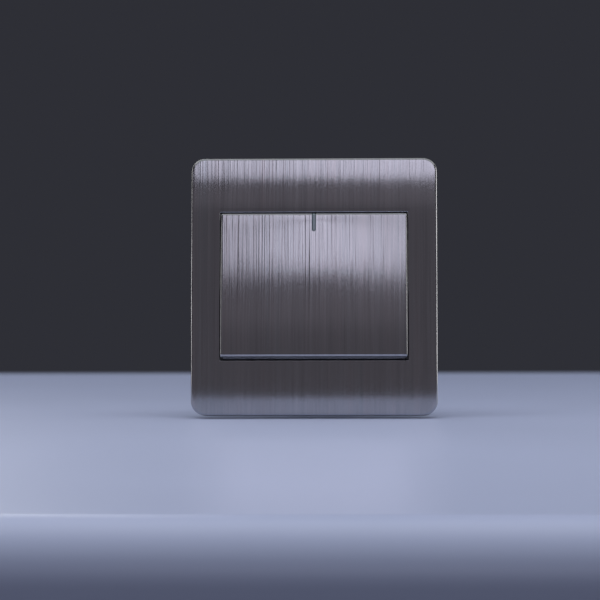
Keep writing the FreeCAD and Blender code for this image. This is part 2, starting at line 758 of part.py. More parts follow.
def lamp_resistor():
    z1 = resistor_top
    z0 = resistor_top - resistor_len
    x = resistor_x
    body = rod(resistor_r - resistor_waist, V(x, lamp_y, z0), V(x, lamp_y, z1))
    caps = [rod(resistor_r, V(x, lamp_y, z), V(x, lamp_y, z + resistor_cap))
            for z in (z0, z1 - resistor_cap)]
    return fused([body] + caps)


def lead(points):
    """A bare wire along straight runs joined by round bends."""
    edges = []
    start = points[0]
    for before, corner, after in zip(points, points[1:], points[2:]):
        into = (corner - before).normalize()
        out = (after - corner).normalize()
        a = corner - into * lead_bend
        b = corner + out * lead_bend
        mid = corner + (out - into) * (lead_bend * (1 - math.sqrt(0.5)))
        edges += [Part.makeLine(start, a), Part.Arc(a, mid, b).toShape()]
        start = b
    edges.append(Part.makeLine(start, points[-1]))
    first = (points[1] - points[0]).normalize()
    ring = Part.Wire([Part.makeCircle(lead_r, points[0], first)])
    return Part.Wire(edges).makePipeShell([ring], True, False)


def lamp_leads():
    tip = lamp_len / 2 + lamp_pinch
    left = lead([V(-tip, lamp_y, lamp_z), V(-lead_x, lamp_y, lamp_z),
                 V(-lead_x, strip_y, lamp_z)])
    link = lead([V(tip, lamp_y, lamp_z), V(resistor_x, lamp_y, lamp_z),
                 V(resistor_x, lamp_y, resistor_top)])
    right = lead([V(resistor_x, lamp_y, resistor_top - resistor_len),
                  V(resistor_x, lamp_y, 0), V(resistor_x, strip_y, 0)])
    return [left, link, right]


# ---- every node ----
def build():
    places = terminal_places()
    return {
        "face_trim": [face_trim()],
        "cover_frame": [cover_frame()],
        "rocker_skin": [rocker_at_rest(rocker_skin())],
        "rocker_cap": [rocker_at_rest(rocker_cap())],
        "rocker_cradle": [rocker_at_rest(rocker_cradle())],
        "indicator_lens": [rocker_at_rest(indicator_lens())],
        "plunger": [rocker_at_rest(plunger())],
        "plunger_spring": [rocker_at_rest(plunger_spring())],
        "support_yoke": [support_yoke()],
        "earth_terminal": [earth_terminal()],
        "earth_screw": [clamp_screw(earth_x, earth_clamp_y, earth_z, -1)],
        "mechanism_housing": [mechanism_housing()],
        "mechanism_cover": [mechanism_cover()],
        "housing_screws": four_ways(housing_screw()),
        "contact_bridge": [bridge_at_rest(contact_bridge())],
        "moving_contacts": [bridge_at_rest(moving_contact(s)) for s in (-1, 1)],
        "fixed_contacts": [fixed_contact(s) for s in (-1, 1)],
        "common_terminal": [common_terminal()],
        "terminal_l1": [terminal_l1()],
        "terminal_l2": [terminal_l2()],
        "terminal_blocks": [terminal_block(*p) for p in places],
        "terminal_screws": [clamp_screw(x, clamp_y, z, side) for x, z, side in places],
        "neon_lamp": [neon_lamp()],
        "lamp_holder": [lamp_holder()],
        "lamp_resistor": [lamp_resistor()],
        "lamp_leads": lamp_leads(),
    }


os.makedirs("parts", exist_ok=True)
for name, shapes in build().items():
    solids = [solid for shape in shapes for solid in shape.Solids]
    for solid in solids:
        if not solid.isValid() or solid.Volume <= 0:
            raise RuntimeError(f"{name} has a bad solid")
    whole = solids[0] if len(solids) == 1 else Part.makeCompound(solids)
    whole.exportStep(f"parts/{name}.step")
    print(f"{name}: {len(solids)} solids, {sum(s.Volume for s in solids):.1f} mm3")
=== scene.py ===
"""Finishes and smooth skins for a rocker wall switch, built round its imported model.

The plate's skin, the rocker's skin, the indicator window and the plunger's spring are made here
as smooth surfaces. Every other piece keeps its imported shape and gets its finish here. All lengths
are in metres.
"""

from math import acos, asin, atan2, cos, hypot, pi, radians, sin, sqrt

import bpy
import numpy as np
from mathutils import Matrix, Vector


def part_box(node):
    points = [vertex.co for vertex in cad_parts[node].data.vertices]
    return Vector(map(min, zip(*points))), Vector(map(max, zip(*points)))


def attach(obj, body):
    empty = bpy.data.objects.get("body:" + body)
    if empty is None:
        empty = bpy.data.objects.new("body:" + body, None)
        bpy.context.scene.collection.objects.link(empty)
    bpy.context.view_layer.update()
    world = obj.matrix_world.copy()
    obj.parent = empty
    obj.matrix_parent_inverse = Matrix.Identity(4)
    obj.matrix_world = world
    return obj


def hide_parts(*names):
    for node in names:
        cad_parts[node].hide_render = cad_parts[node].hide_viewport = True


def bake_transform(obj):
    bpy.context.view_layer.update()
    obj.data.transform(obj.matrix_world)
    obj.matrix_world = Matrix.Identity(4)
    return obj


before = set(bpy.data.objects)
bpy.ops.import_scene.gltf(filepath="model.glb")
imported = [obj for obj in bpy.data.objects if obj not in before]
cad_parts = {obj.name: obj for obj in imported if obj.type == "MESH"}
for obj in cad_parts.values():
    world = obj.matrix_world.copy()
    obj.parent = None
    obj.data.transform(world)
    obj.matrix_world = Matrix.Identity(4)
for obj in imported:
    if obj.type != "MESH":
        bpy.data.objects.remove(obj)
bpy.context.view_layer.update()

bl_info = {
    "name": "Rocker wall switch",
    "version": (1, 0, 0),
    "blender": (4, 5, 0),
    "location": "View3D > Sidebar > Switch",
    "description": "Skins, finishes and a studio for a brushed metal rocker switch",
    "category": "Object",
}

PLATE_LOW, PLATE_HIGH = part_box("face_trim")
MM = 0.001


# ---- sizes and colours a user would change ----
def length(name, description, default):
    return bpy.props.FloatProperty(name=name, description=description, default=default,
                                   min=0, unit="LENGTH", precision=5)


def angle(name, description, turn):
    return bpy.props.FloatProperty(name=name, description=description, default=radians(turn),
                                   unit="ROTATION")


def colour(name, description, default):
    return bpy.props.FloatVectorProperty(name=name, description=description, default=default,
                                         size=3, subtype="COLOR", min=0, max=1)


def share(name, description, default, top=1.0):
    return bpy.props.FloatProperty(name=name, description=description, default=default,
                                   min=0, max=top, subtype="FACTOR")


class PlateSizes(bpy.types.PropertyGroup):
    """Sizes of the metal plate's skin"""
    width: length("Width", "Plate, left to right", PLATE_HIGH.x - PLATE_LOW.x)
    height: length("Height", "Plate, bottom to top", PLATE_HIGH.z - PLATE_LOW.z)
    rise: length("Rise", "From the wall to the crown of the arch", -PLATE_LOW.y)
    arch_radius: length("Arch radius", "Radius of the shallow arch, about a level axis", 650 * MM)
    corner: length("Corner radius", "Outer corners", 5 * MM)
    roll: length("Edge roll", "Radius of the rolled edge", 0.8 * MM)
    thickness: length("Thickness", "Sheet thickness", 0.6 * MM)
    back: length("Back", "How far from the wall the return stops", -PLATE_HIGH.y)
    opening_width: length("Opening width", "Rocker's opening", 65.5 * MM)
    opening_height: length("Opening height", "Rocker's opening", 51.7 * MM)
    opening_corner: length("Opening corner", "Radius in the opening's corners", 0.25 * MM)
    rim: length("Rim", "Round on the opening's front edge", 0.25 * MM)


class RockerSizes(bpy.types.PropertyGroup):
    """Sizes of the rocker's metal skin and its indicator window"""
    gap: length("Gap", "Rocker to opening", 0.25 * MM)
    travel: angle("Travel", "From one stop to the other", 9.0)
    pivot_depth: length("Pivot", "Axle's line, in front of the wall", 5 * MM)
    face_radius: length("Face radius", "Crown of the rocker's face", 2400 * MM)
    lip: length("Lip radius", "Round at the upper and lower edge", 1.0 * MM)
    fold: length("Side fold", "Round at the left and right edge", 0.55 * MM)
    thickness: length("Thickness", "Sheet thickness", 0.5 * MM)
    end_flange: length("End flange", "Depth of the upper and lower return", 3.4 * MM)
    side_flange: length("Side flange", "Depth of the left and right return", 1.8 * MM)
    notch: length("Notch", "Relief cut at each corner", 1.0 * MM)
    lens_width: length("Window width", "Indicator window", 1.3 * MM)
    lens_length: length("Window length", "From the rocker's upper edge", 6.9 * MM)
    lens_fit: length("Window fit", "Window to slot, each side", 0.05 * MM)
    lens_sunk: length("Window depth", "Below the metal's face", 0.12 * MM)
    lens_dome: length("Window dome", "How much higher its middle stands", 0.2 * MM)


class SpringSizes(bpy.types.PropertyGroup):
    """Sizes of the spring in the plunger"""
    coil: length("Coil radius", "Axis to the middle of the wire", 1.15 * MM)
    wire: length("Wire radius", "Round wire", 0.2 * MM)
    seat: length("Seat", "From the rocker's axle to the middle of the first turn", 0.25 * MM)
    run: length("Length", "Between the first and the last turn", 9.0 * MM)
    turns: bpy.props.IntProperty(name="Turns", description="Number of turns", default=7, min=1)


class Finishes(bpy.types.PropertyGroup):
    """Tones of the finishes"""
    steel_dark: colour("Steel, dark lines", "Brushed steel", (0.285, 0.281, 0.291))
    steel_light: colour("Steel, light lines", "Brushed steel", (0.485, 0.479, 0.494))
    # The end-wall tone is painted shade: it darkens the rocker's end walls to stand in for the
    # shadow in the gap round the rocker.
    steel_painted_shade: colour("Steel, end walls", "Painted shade on end walls", (0.13, 0.13, 0.135))
    steel_roughness: share("Steel roughness", "Along the brushing", 0.12)
    steel_spread: share("Steel spread", "How much wider highlights are across the brushing", 1.0)
    line_depth: length("Line depth", "Height of the brushed lines' relief", 0.037 * MM)
    window: colour("Window", "Indicator window", (0.075, 0.105, 0.125))
    carrier: colour("Carrier", "Moulded frame and rocker", (0.020, 0.020, 0.022))
    housing: colour("Housing", "Mechanism's moulding", (0.60, 0.60, 0.575))
    zinc: colour("Zinc", "Plated steel", (0.60, 0.60, 0.58))
    brass: colour("Brass", "Terminals", (0.72, 0.53, 0.24))
    copper: colour("Copper", "Strips and bridge", (0.70, 0.42, 0.26))


class Studio(bpy.types.PropertyGroup):
    """Floor, lights and camera"""
    floor: colour("Floor", "Pale table top", (0.50, 0.56, 0.80))
    backdrop: colour("Backdrop", "Room behind", (0.0275, 0.0285, 0.0365))
    lean: angle("Lean", "How far the plate leans back from upright on the table", 4.0)
    front: length("Table front", "Top surface in front of the plate", 0.388)
    behind: length("Table behind", "Top surface behind the plate", 0.60)
    edge: length("Table edge", "Round on the table's front edge", 13.5 * MM)
    half_width: length("Table half width", "Middle to either side", 0.8)
    foot_gap: length("Foot gap", "Plate's lower edge above the table", 0.6 * MM)
    fade_from: length("Fade from", "How far behind the plate the table starts to fade", 0.46)
    fade_to: length("Fade to", "How far behind the plate the table has gone", 0.59)
    distance: length("Camera distance", "From the plate's middle", 0.870)
    azimuth: angle("Camera azimuth", "To the right of straight ahead", 1.7)
    elevation: angle("Camera elevation", "Above the plate's normal", -4.27)
    lens: bpy.props.FloatProperty(name="Lens", description="Focal length in millimetres",
                                  default=148.3, min=1)
    aim_x: bpy.props.FloatProperty(name="Aim X", description="Point looked at", unit="LENGTH",
                                   default=-0.0049)
    aim_z: bpy.props.FloatProperty(name="Aim Z", description="Point looked at", unit="LENGTH",
                                   default=-0.0048)


# ---- meshes ----
def make_piece(name, points, quads, body, stands_for=(), crease=35):
    """A mesh piece from its points and four-sided faces. Unused points are dropped. A closed
    shell whose enclosed volume comes out negative has every face turned round."""
    used, quads = np.unique(quads, return_inverse=True)
    points, quads = points.reshape(-1, 3)[used], quads.reshape(-1, 4)
    a, b, c, d = (points[quads[:, k]] for k in range(4))
    volume = (np.cross(b - a, c - a) * a).sum() + (np.cross(c - a, d - a) * a).sum()
    if volume < 0:
        quads = quads[:, ::-1]
    mesh = bpy.data.meshes.new(name)
    mesh.from_pydata(points.tolist(), [], quads.tolist())
    mesh.shade_smooth()
    mesh.set_sharp_from_angle(angle=radians(crease))
    piece = bpy.data.objects.new(name, mesh)
    bpy.context.scene.collection.objects.link(piece)
    if body:
        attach(piece, body)
    if stands_for:
        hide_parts(*stands_for)
    return piece


def ring_quads(rings, around):
    """Quads of a closed tube of closed rings: each ring joins the next, and the last the first."""
    index = np.arange(rings * around).reshape(rings, around)
    right, below = np.roll(index, -1, 1), np.roll(index, -1, 0)
    return np.stack([index, right, np.roll(right, -1, 0), below], -1).reshape(-1, 4)


def sheet_quads(kept):
    """Quads of a sheet with two faces and a wall along every free edge. kept says which cells of
    the grid are there. Points are the outer grid's, then the inner grid's."""
    rows, cols = kept.shape
    index = np.arange((rows + 1) * (cols + 1)).reshape(rows + 1, cols + 1)
    cell = np.stack([index[:-1, :-1], index[:-1, 1:], index[1:, 1:], index[1:, :-1]], -1)
    beside = np.pad(kept, 1)
    neighbours = (beside[:-2, 1:-1], beside[1:-1, 2:], beside[2:, 1:-1], beside[1:-1, :-2])
    faces = [cell[kept], cell[kept][:, ::-1] + index.size]
    for side, neighbour in enumerate(neighbours):
        free = cell[kept & ~neighbour]
        a, b = free[:, side], free[:, (side + 1) % 4]
        faces.append(np.stack([b, a, a + index.size, b + index.size], -1))
    return np.concatenate(faces)


def rounded_outline(half_w, half_h, corner, along=28, turn=12):
    """Points round a rectangle with round corners. At each corner: its centre plus the radius
    swept through a right angle. Between corners: evenly spaced along the straight side."""
    sign = np.array([(1, 1), (-1, 1), (-1, -1), (1, -1)])
    centre = sign * [half_w - corner, half_h - corner]
    sweep = np.add.outer(np.arange(4) * pi / 2, np.linspace(0, pi / 2, turn + 1))
    arcs = centre[:, None] + corner * np.stack([np.cos(sweep), np.sin(sweep)], -1)
    t = np.linspace(0, 1, along + 1)[1:-1, None]
    sides = arcs[:, -1:] * (1 - t) + np.roll(arcs[:, :1], -1, 0) * t
    return np.concatenate([arcs, sides], 1).reshape(-1, 2)


class SWITCH_OT_plate_skin(bpy.types.Operator):
    """Make the brushed plate: an arched face with a rolled edge and a rounded opening"""
    bl_idname = "switch.plate_skin"
    bl_label = "Plate skin"

    def execute(self, context):
        s = context.scene.switch_plate
        half_w, half_h = s.width / 2, s.height / 2

        def outer(inset):
            return rounded_outline(half_w - inset, half_h - inset, s.corner - inset)

        def opening(out):
            return rounded_outline(s.opening_width / 2 + out, s.opening_height / 2 + out,
                                   s.opening_corner + out)

        def ring(outline, behind=0.0, depth=None):
            """The outline set on the arch, or at one depth: y is the arch's height at z, which is
            minus the rise plus the drop of a circle of the arch's radius, plus behind."""
            x, z = outline.T
            drop = s.arch_radius - np.sqrt(s.arch_radius ** 2 - z ** 2)
            y = -s.rise + drop + behind if depth is None else np.full_like(x, depth)
            return np.stack([x, y, z], -1)

        quarter = np.linspace(0, pi / 2, 7)
        rim = [ring(opening(s.rim * (1 - cos(q))), s.rim * (1 - sin(q))) for q in quarter]
        face = [ring(opening(s.rim) * (1 - t) + outer(s.roll) * t)
                for t in np.linspace(0, 1, 15)[1:-1]]
        quarter = np.linspace(0, pi / 2, 11)
        roll = [ring(outer(s.roll * (1 - sin(q))), s.roll * (1 - cos(q))) for q in quarter]
        back = -s.back
        rings = rim + face + roll + [
            ring(outer(0), depth=back - 1.5 * MM), ring(outer(0), depth=back),
            ring(outer(s.thickness), depth=back),
            ring(outer(s.thickness), s.roll),
            ring(outer(s.roll), s.thickness),
            ring(opening(0), s.thickness),
        ]
        piece = make_piece("plate_skin", np.array(rings), ring_quads(len(rings), len(rings[0])),
                           "base", ["face_trim"])
        piece.data.materials.append(brushed_steel("brushed_plate", 3.7))
        return {"FINISHED"}


class RockerForm:
    """The rocker's outline in Y and Z, drawn level: a crowned face, a round lip at each end, and
    end walls that are arcs about the axle. A point is a circle's centre plus its radius along the
    outward normal, whose slope from straight ahead is the angle held for it."""

    def __init__(self, plate, s):
        half_open = plate.opening_height / 2
        edge_y = -plate.rise + plate.arch_radius - sqrt(plate.arch_radius ** 2 - half_open ** 2)
        self.pivot = -s.pivot_depth
        self.half_w = plate.opening_width / 2 - s.gap
        self.half_h = half_open - s.gap
        self.end_r = hypot(self.half_h, self.pivot - edge_y)
        lift = asin((self.pivot - edge_y) / self.end_r) + s.travel / 2
        self.corner_y = self.pivot - self.end_r * sin(lift)
        self.corner_z = self.end_r * cos(lift)
        self.face_r = s.face_radius
        crown = self.corner_y - (self.face_r - sqrt(self.face_r ** 2 - self.corner_z ** 2))
        self.face_centre = crown + self.face_r
        # the lip's centre lies one lip radius inside both circles
        d = self.face_centre - self.pivot
        inner_end, inner_face = self.end_r - s.lip, self.face_r - s.lip
        along = (d ** 2 + inner_end ** 2 - inner_face ** 2) / (2 * d)
        self.lip_y, self.lip_z = self.pivot + along, sqrt(inner_end ** 2 - along ** 2)
        self.lip_from = atan2(self.lip_z, self.face_centre - self.lip_y)
        self.lip_to = atan2(self.lip_z, self.pivot - self.lip_y)
        self.lip = s.lip
        self.face_z = self.face_r * sin(self.lip_from)
        self.rest = -s.travel / 2

    def end_angle(self, depth):
        """Slope of the end wall's normal where the wall is this far behind the corner."""
        return acos((self.pivot - self.corner_y - depth) / self.end_r)

    def rows(self, face_z, walls):
        """Circle centres, radii and slopes for rows that run from the lower end wall, round its
        lip, over the face at the heights given, and down the upper end."""
        wall = np.array(walls)
        lip = np.linspace(self.lip_from, self.lip_to, 9)
        upper = [(self.lip_y, self.lip_z, self.lip, lip[1:]), (self.pivot, 0, self.end_r, wall)]
        parts = [(c[0], -c[1], c[2], -c[3][::-1]) for c in upper[::-1]]
        parts += [(self.face_centre, 0, self.face_r, np.arcsin(np.array(face_z) / self.face_r))]
        parts += upper
        return [np.concatenate([np.full(len(p[3]), p[k]) for p in parts]) for k in range(3)] + [
            np.concatenate([p[3] for p in parts])]

    def place(self, x, rows, slope, deep):
        """Points at x, each moved in by deep along its normal, no further than the circle's
        centre, then turned about the axle from level to rest."""
        cy, cz, radius = (r[:, None] for r in rows)
        reach = np.maximum(radius - deep, 0.02 * radius)
        y = cy - reach * np.cos(slope) - self.pivot
        z = cz + reach * np.sin(slope)
        c, s = cos(self.rest), sin(self.rest)
        return np.stack([x + 0 * y, self.pivot + y * c - z * s, y * s + z * c], -1)


class SWITCH_OT_rocker_skin(bpy.types.Operator):
    """Make the rocker's folded skin, with its returns, corner reliefs and window slot"""
    bl_idname = "switch.rocker_skin"
    bl_label = "Rocker skin"

    def execute(self, context):
        s = context.scene.switch_rocker
        form = RockerForm(context.scene.switch_plate, s)
        # columns, from the middle outwards: half the slot, the flat, the fold and the side return
        slot_r = s.lens_width / 2 + s.lens_fit
        slot = slot_r * np.sin(np.linspace(0, pi / 2, 7))
        notch_x = form.half_w - s.notch
        flat = np.append(np.linspace(slot_r, notch_x, 15)[1:], form.half_w - s.fold)
        q = np.linspace(0, pi / 2, 9)[1:]
        run = np.array([s.notch, s.side_flange])
        x = np.concatenate([slot, flat, form.half_w - s.fold * (1 - np.sin(q)), [form.half_w] * 2])
        deep = np.concatenate([slot * 0, flat * 0, s.fold * (1 - np.cos(q)), run])
        folded = np.concatenate([slot * 0, flat * 0, q, run * 0 + pi / 2])
        x, deep = np.append(-x[:0:-1], x), np.append(deep[:0:-1], deep)
        folded = np.append(-folded[:0:-1], folded)
        # rows: the slot's round end and the notches fall on rows of their own
        slot_z = form.half_h - s.lens_length + s.lens_width / 2
        ease_z = slot_z - 3 * MM
        near = form.corner_z - s.notch
        face_z = np.unique(np.concatenate([
            np.linspace(-form.face_z, -near, 2), np.linspace(-near, ease_z, 20),
            np.linspace(ease_z, slot_z, 9), np.linspace(slot_z, near, 4), [form.face_z]]))
        walls = [form.end_angle(d) for d in (s.notch, 0.5 * s.end_flange, s.end_flange)]
        *rows, slope = form.rows(face_z, walls)
        slope = slope[:, None] + 0 * x
        # the rows under the slot dip to follow its round end
        z = form.face_r * np.sin(slope)
        on_face = (rows[2] == form.face_r)[:, None] & (z <= slot_z + 1e-9)
        ease = np.clip((z - ease_z) / (slot_z - ease_z), 0, 1)
        dip = np.sqrt(np.maximum(slot_r ** 2 - x ** 2, 0)) * ease ** 2
        slope = np.where(on_face, slope - dip / form.face_r, slope)
        # the inner face lies one thickness in along the normal, which turns from the form's
        # normal to straight sideways round the fold
        outer = form.place(x, rows, slope, deep)
        inner = form.place(x - s.thickness * np.sin(folded), rows, slope,
                           deep + s.thickness * np.cos(folded))
        # which cells stay
        level = rows[0] - rows[2] * np.cos(slope[:, 0])
        height = rows[1] + rows[2] * np.sin(slope[:, 0])
        mid = lambda v: (v[1:] + v[:-1]) / 2
        behind = mid(level - form.corner_y)[:, None]
        high = mid(height)[:, None]
        far_x, far_deep = mid(np.abs(x)), mid(deep)
        kept = ~((behind > s.notch) & (far_x > notch_x))
        kept &= ~((far_deep > s.notch) & (np.abs(high) > near))
        kept &= ~((far_x < slot_r) & (high > slot_z))
        piece = make_piece("rocker_face", np.stack([outer, inner]), sheet_quads(kept),
                           "rocker", ["rocker_skin"])
        # Where the painted shade on the rocker's end walls begins: beyond end_wall from middle_z,
        # just inside the corners, the steel's colour turns dark to stand in for the shadow in the
        # gap round the rocker.
        middle_z = (form.pivot - form.corner_y) * sin(-form.rest)
        end_wall = form.corner_z * cos(form.rest) - 0.15 * MM
        piece.data.materials.append(brushed_steel("brushed_rocker", 11.3, end_wall, middle_z))
        return {"FINISHED"}


class SWITCH_OT_indicator(bpy.types.Operator):
    """Make the indicator's window: a low dome with one round end"""
    bl_idname = "switch.indicator"
    bl_label = "Indicator window"

    def execute(self, context):
        s = context.scene.switch_rocker
        form = RockerForm(context.scene.switch_plate, s)
        r = s.lens_width / 2
        round_z = form.half_h - s.lens_length + r
        # rows run from the round end's tip; each row is as wide as a circle is at that height
        face_z = np.concatenate([round_z - r * np.cos(np.linspace(0.02, pi / 2, 9)),
                                 np.linspace(round_z, form.face_z, 12)[1:]])
        walls = [form.end_angle(d) for d in (s.notch, 0.9 * s.end_flange)]
        *rows, slope = form.rows(face_z, walls)
        first = np.argmax(rows[2] == form.face_r)
        rows, slope = [v[first:] for v in rows], slope[first:, None]
        below = np.minimum(np.where(rows[2] == form.face_r,
                                    form.face_r * np.sin(slope[:, 0]) - round_z, 0), 0)[:, None]
        width = np.sqrt(np.maximum(r ** 2 - below ** 2, 0))
        x = width * np.sin(np.linspace(-pi / 2, pi / 2, 17))
        off = np.minimum((x ** 2 + below ** 2) / r ** 2, 1)
        deep = s.lens_sunk + s.lens_dome * (1 - np.sqrt(1 - off))
        outer = form.place(x, rows, slope, deep)
        inner = form.place(x, rows, slope, deep * 0 + 0.9 * MM)
        kept = np.ones((len(slope) - 1, 16), bool)
        piece = make_piece("indicator_window", np.stack([outer, inner]), sheet_quads(kept),
                           "rocker", ["indicator_lens"], crease=60)
        piece.data.materials.append(window_plastic())
        return {"FINISHED"}


class SWITCH_OT_spring(bpy.types.Operator):
    """Make the plunger's coil spring at one fixed length; the mesh does not close up as the plunger
    is pushed in
    """
    bl_idname = "switch.spring"
    bl_label = "Plunger spring"

    def execute(self, context):
        """The wire's middle is at (r cos a, p a, -r sin a) for a turn angle a. Its surface lies one
        wire radius off, round the outward direction and the one square to that and the wire."""
        s = context.scene.switch_spring
        rocker = context.scene.switch_rocker
        around, each_turn = 8, 24
        a = np.linspace(0, 2 * pi * s.turns, each_turn * s.turns + 1)[:, None, None]
        ring = np.linspace(0, 2 * pi, around, endpoint=False)[:, None]
        climb = s.run / (2 * pi * s.turns)
        out = np.concatenate([np.cos(a), 0 * a, -np.sin(a)], -1)
        run = np.concatenate([-s.coil * np.sin(a), climb + 0 * a, -s.coil * np.cos(a)], -1)
        square = np.cross(run / hypot(s.coil, climb), out)
        middle = s.coil * out + np.concatenate([0 * a, s.seat + climb * a, 0 * a], -1)
        x, y, z = np.moveaxis(middle + s.wire * (np.cos(ring) * out + np.sin(ring) * square), -1, 0)

        def tilted(x, y, z):
            """Turned about the axle from level to rest, then set at the axle."""
            turn = -rocker.travel / 2
            return np.stack([x, y * cos(turn) - z * sin(turn) - rocker.pivot_depth,
                             y * sin(turn) + z * cos(turn)], -1)

        index = np.arange(a.size * around).reshape(a.size, around)
        beside = np.roll(index, -1, 1)
        tube = np.stack([index[:-1], beside[:-1], beside[1:], index[1:]], -1).reshape(-1, 4)
        cap = np.array([(0, 7, 2, 1), (7, 6, 3, 2), (6, 5, 4, 3)])   # closes one end
        quads = np.concatenate([tube, cap, cap[:, ::-1] + index[-1, 0]])
        piece = make_piece("coil_spring", tilted(x, y, z), quads, None,
                           ["plunger_spring"], crease=50)
        piece.data.materials.append(plated("drawn_wire", (0.50, 0.50, 0.50), roughness=0.22))
        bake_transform(piece)
        return {"FINISHED"}


# ---- material nodes ----
class Value:
    """A number or vector on a node's output. Arithmetic on it adds Math nodes."""

    def __init__(self, finish, node, out):
        self.finish, self.node, self.socket = finish, node, node.outputs[out]

    def math(self, operation, *values, clamp=False):
        return self.finish.node("Math", {"operation": operation, "use_clamp": clamp},
                                dict(enumerate(values)))

    def __add__(self, other):
        return self.math("ADD", self, other)

    def __sub__(self, other):
        return self.math("SUBTRACT", self, other)

    def __rsub__(self, other):
        return self.math("SUBTRACT", other, self)

    def __mul__(self, other):
        return self.math("MULTIPLY", self, other)

    def __abs__(self):
        return self.math("ABSOLUTE", self)

    __radd__, __rmul__ = __add__, __mul__


class Finish:
    """A material with one Principled shader, and the nodes that feed it."""

    def __init__(self, name, **sockets):
        self.material = bpy.data.materials.new(name)
        self.material.use_nodes = True
        self.tree = self.material.node_tree
        self.tree.nodes.clear()
        values = {key.replace("_", " ").title().replace("Ior", "IOR"): value
                  for key, value in sockets.items()}
        self.shader = self.node("BsdfPrincipled", {}, values, "BSDF")
        self.node("OutputMaterial", {}, {"Surface": self.shader}, None)
        self.spot = self.node("TexCoord", {}, {}, "Object")
        self.x, self.y, self.z = (self.node("SeparateXYZ", {}, {0: self.spot}, a) for a in "XYZ")

    def node(self, kind, settings=None, sockets=None, out=0):
        """Adds a node of a kind, applies its settings, fills its sockets, and returns one output.
        A ramp's stops are given as (place, colour) pairs."""
        node = self.tree.nodes.new("ShaderNode" + kind)
        settings = dict(settings or {})
        stops = settings.pop("stops", None)
        for key, value in settings.items():
            setattr(node, key, value)
        if stops:
            ramp = node.color_ramp.elements
            while len(ramp) < len(stops):
                ramp.new(0.5)
            for element, (place, tone) in zip(ramp, stops):
                element.position, element.color = place, (*tone, 1)
        for key, value in (sockets or {}).items():
            if isinstance(value, Value):
                self.tree.links.new(value.socket, node.inputs[key])
            elif node.inputs[key].type == "RGBA" and len(value) == 3:
                node.inputs[key].default_value = (*value, 1)
            else:
                node.inputs[key].default_value = value
        return None if out is None else Value(self, node, out)

    def feed(self, socket, value):
        self.tree.links.new(value.socket, self.shader.node.inputs[socket])

    def noise(self, stretch, detail=2.0, shift=0.0):
        """Noise from about -1 to 1 on Object coordinates, each axis scaled by stretch."""
        place = self.node("Mapping", {"vector_type": "POINT"},
                          {"Vector": self.spot, "Scale": stretch, "Location": (shift,) * 3})
        return (self.node("TexNoise", {}, {"Vector": place, "Scale": 1.0, "Detail": detail},
                          "Fac") - 0.5) * 2.0

    def mix(self, factor, a, b):
        """Colour a where the factor is 0, b where it is 1."""
        return self.node("Mix", {"data_type": "RGBA", "clamp_factor": True},
                         {0: factor, 6: a, 7: b}, 2)

    def step(self, value, low, high):
        """0 below low, 1 above high, and a smooth rise between."""
        return self.node("MapRange", {"interpolation_type": "SMOOTHSTEP"},
                         {"Value": value, "From Min": low, "From Max": high})

    def bump(self, height, strength, distance):
        self.feed("Normal", self.node("Bump", {}, {"Height": height, "Strength": strength,
                                                   "Distance": distance}, "Normal"))


def brushed_steel(name, seed, end_wall=1.0, middle_z=0.0):
    """Steel brushed up and down: fine, middling and broad lines that change quickly across and
    slowly along, in tone, gloss and relief. Beyond end_wall from middle_z its colour is painted
    shade: a dark tone for the end walls, which lie in shadow in the gap round the rocker."""
    tones = bpy.context.scene.switch_finish
    f = Finish(name, metallic=1.0, anisotropic=tones.steel_spread, roughness=tones.steel_roughness,
               specular_tint=(1.0, 1.0, 1.0))
    fine = f.noise((2600, 0, 40), shift=seed, detail=1)
    middle = f.noise((1450, 0, 4), shift=2 * seed, detail=1)
    broad = f.noise((240, 0, 3), shift=3 * seed)
    hue = f.noise((520, 0, 4), shift=5 * seed)
    line = fine * 0.55 + middle * 0.5 + broad * 0.3
    grey = f.mix(line * 0.5 + 0.5, tones.steel_dark, tones.steel_light)
    warm = f.mix(f.step(hue, 0.0, 0.9) * 0.5, grey, (0.45, 0.395, 0.40))
    cool = f.mix(f.step(hue, 0.0, -0.9) * 0.5, warm, (0.355, 0.405, 0.43))
    # Painted shade: beyond end_wall from middle_z the colour turns to the dark end-wall tone,
    # standing in for the shadow in the gap round the rocker.
    wall = f.step(abs(f.z - middle_z), end_wall, end_wall + 0.2 * MM)
    painted_shade_colour = f.mix(wall, cool, tones.steel_painted_shade)
    f.feed("Base Color", painted_shade_colour)
    f.feed("Roughness", line * 0.015 + tones.steel_roughness)
    f.bump(fine * 0.5 + middle * 0.7 + broad * 0.5, 1.0, tones.line_depth)
    return f.material


def window_plastic():
    """Smoked clear plastic, with a painted highlight: a lighter line down the middle that stands in
    for the reflection of the overhead light along the window's dome.
    """
    tones = bpy.context.scene.switch_finish
    f = Finish("window_plastic", roughness=0.22, specular_ior_level=0.5, coat_weight=0.3)
    # Painted highlight: the strip down the middle of the window is coloured lighter.
    painted_highlight_strip = 1.0 - f.step(abs(f.x), 0.00016, 0.00046)
    cloud = f.noise((900, 900, 300), shift=2.0) * 0.12
    pale = f.mix(painted_highlight_strip, tones.window, (0.21, 0.24, 0.27))
    f.feed("Base Color", f.mix(f.step(cloud, -0.1, 0.2) * 0.3, pale, (0.13, 0.17, 0.19)))
    return f.material


def moulding(name, tone, grain=2600.0, depth=0.00002, roughness=0.42, mottle=0.12, worn=None):
    """Moulded plastic: a fine pebbled grain, slow clouds in tone and gloss, faint flow marks."""
    f = Finish(name, base_color=tone, roughness=roughness, specular_ior_level=0.45)
    cloud = f.noise((70, 70, 70), detail=4)
    pebble = f.noise((grain, grain, grain), detail=1)
    flow = f.noise((35, 400, 60), detail=3, shift=4.0)
    lighter = tuple(min(1, c * (1 + mottle) + 0.004) for c in tone)
    darker = tuple(c * (1 - mottle) for c in tone)
    f.feed("Base Color", f.mix(cloud * 0.5 + flow * 0.25 + 0.5, darker, lighter))
    f.feed("Roughness", cloud * 0.05 + pebble * 0.04 + roughness)
    f.bump(pebble, 0.35, depth)
    return f.material


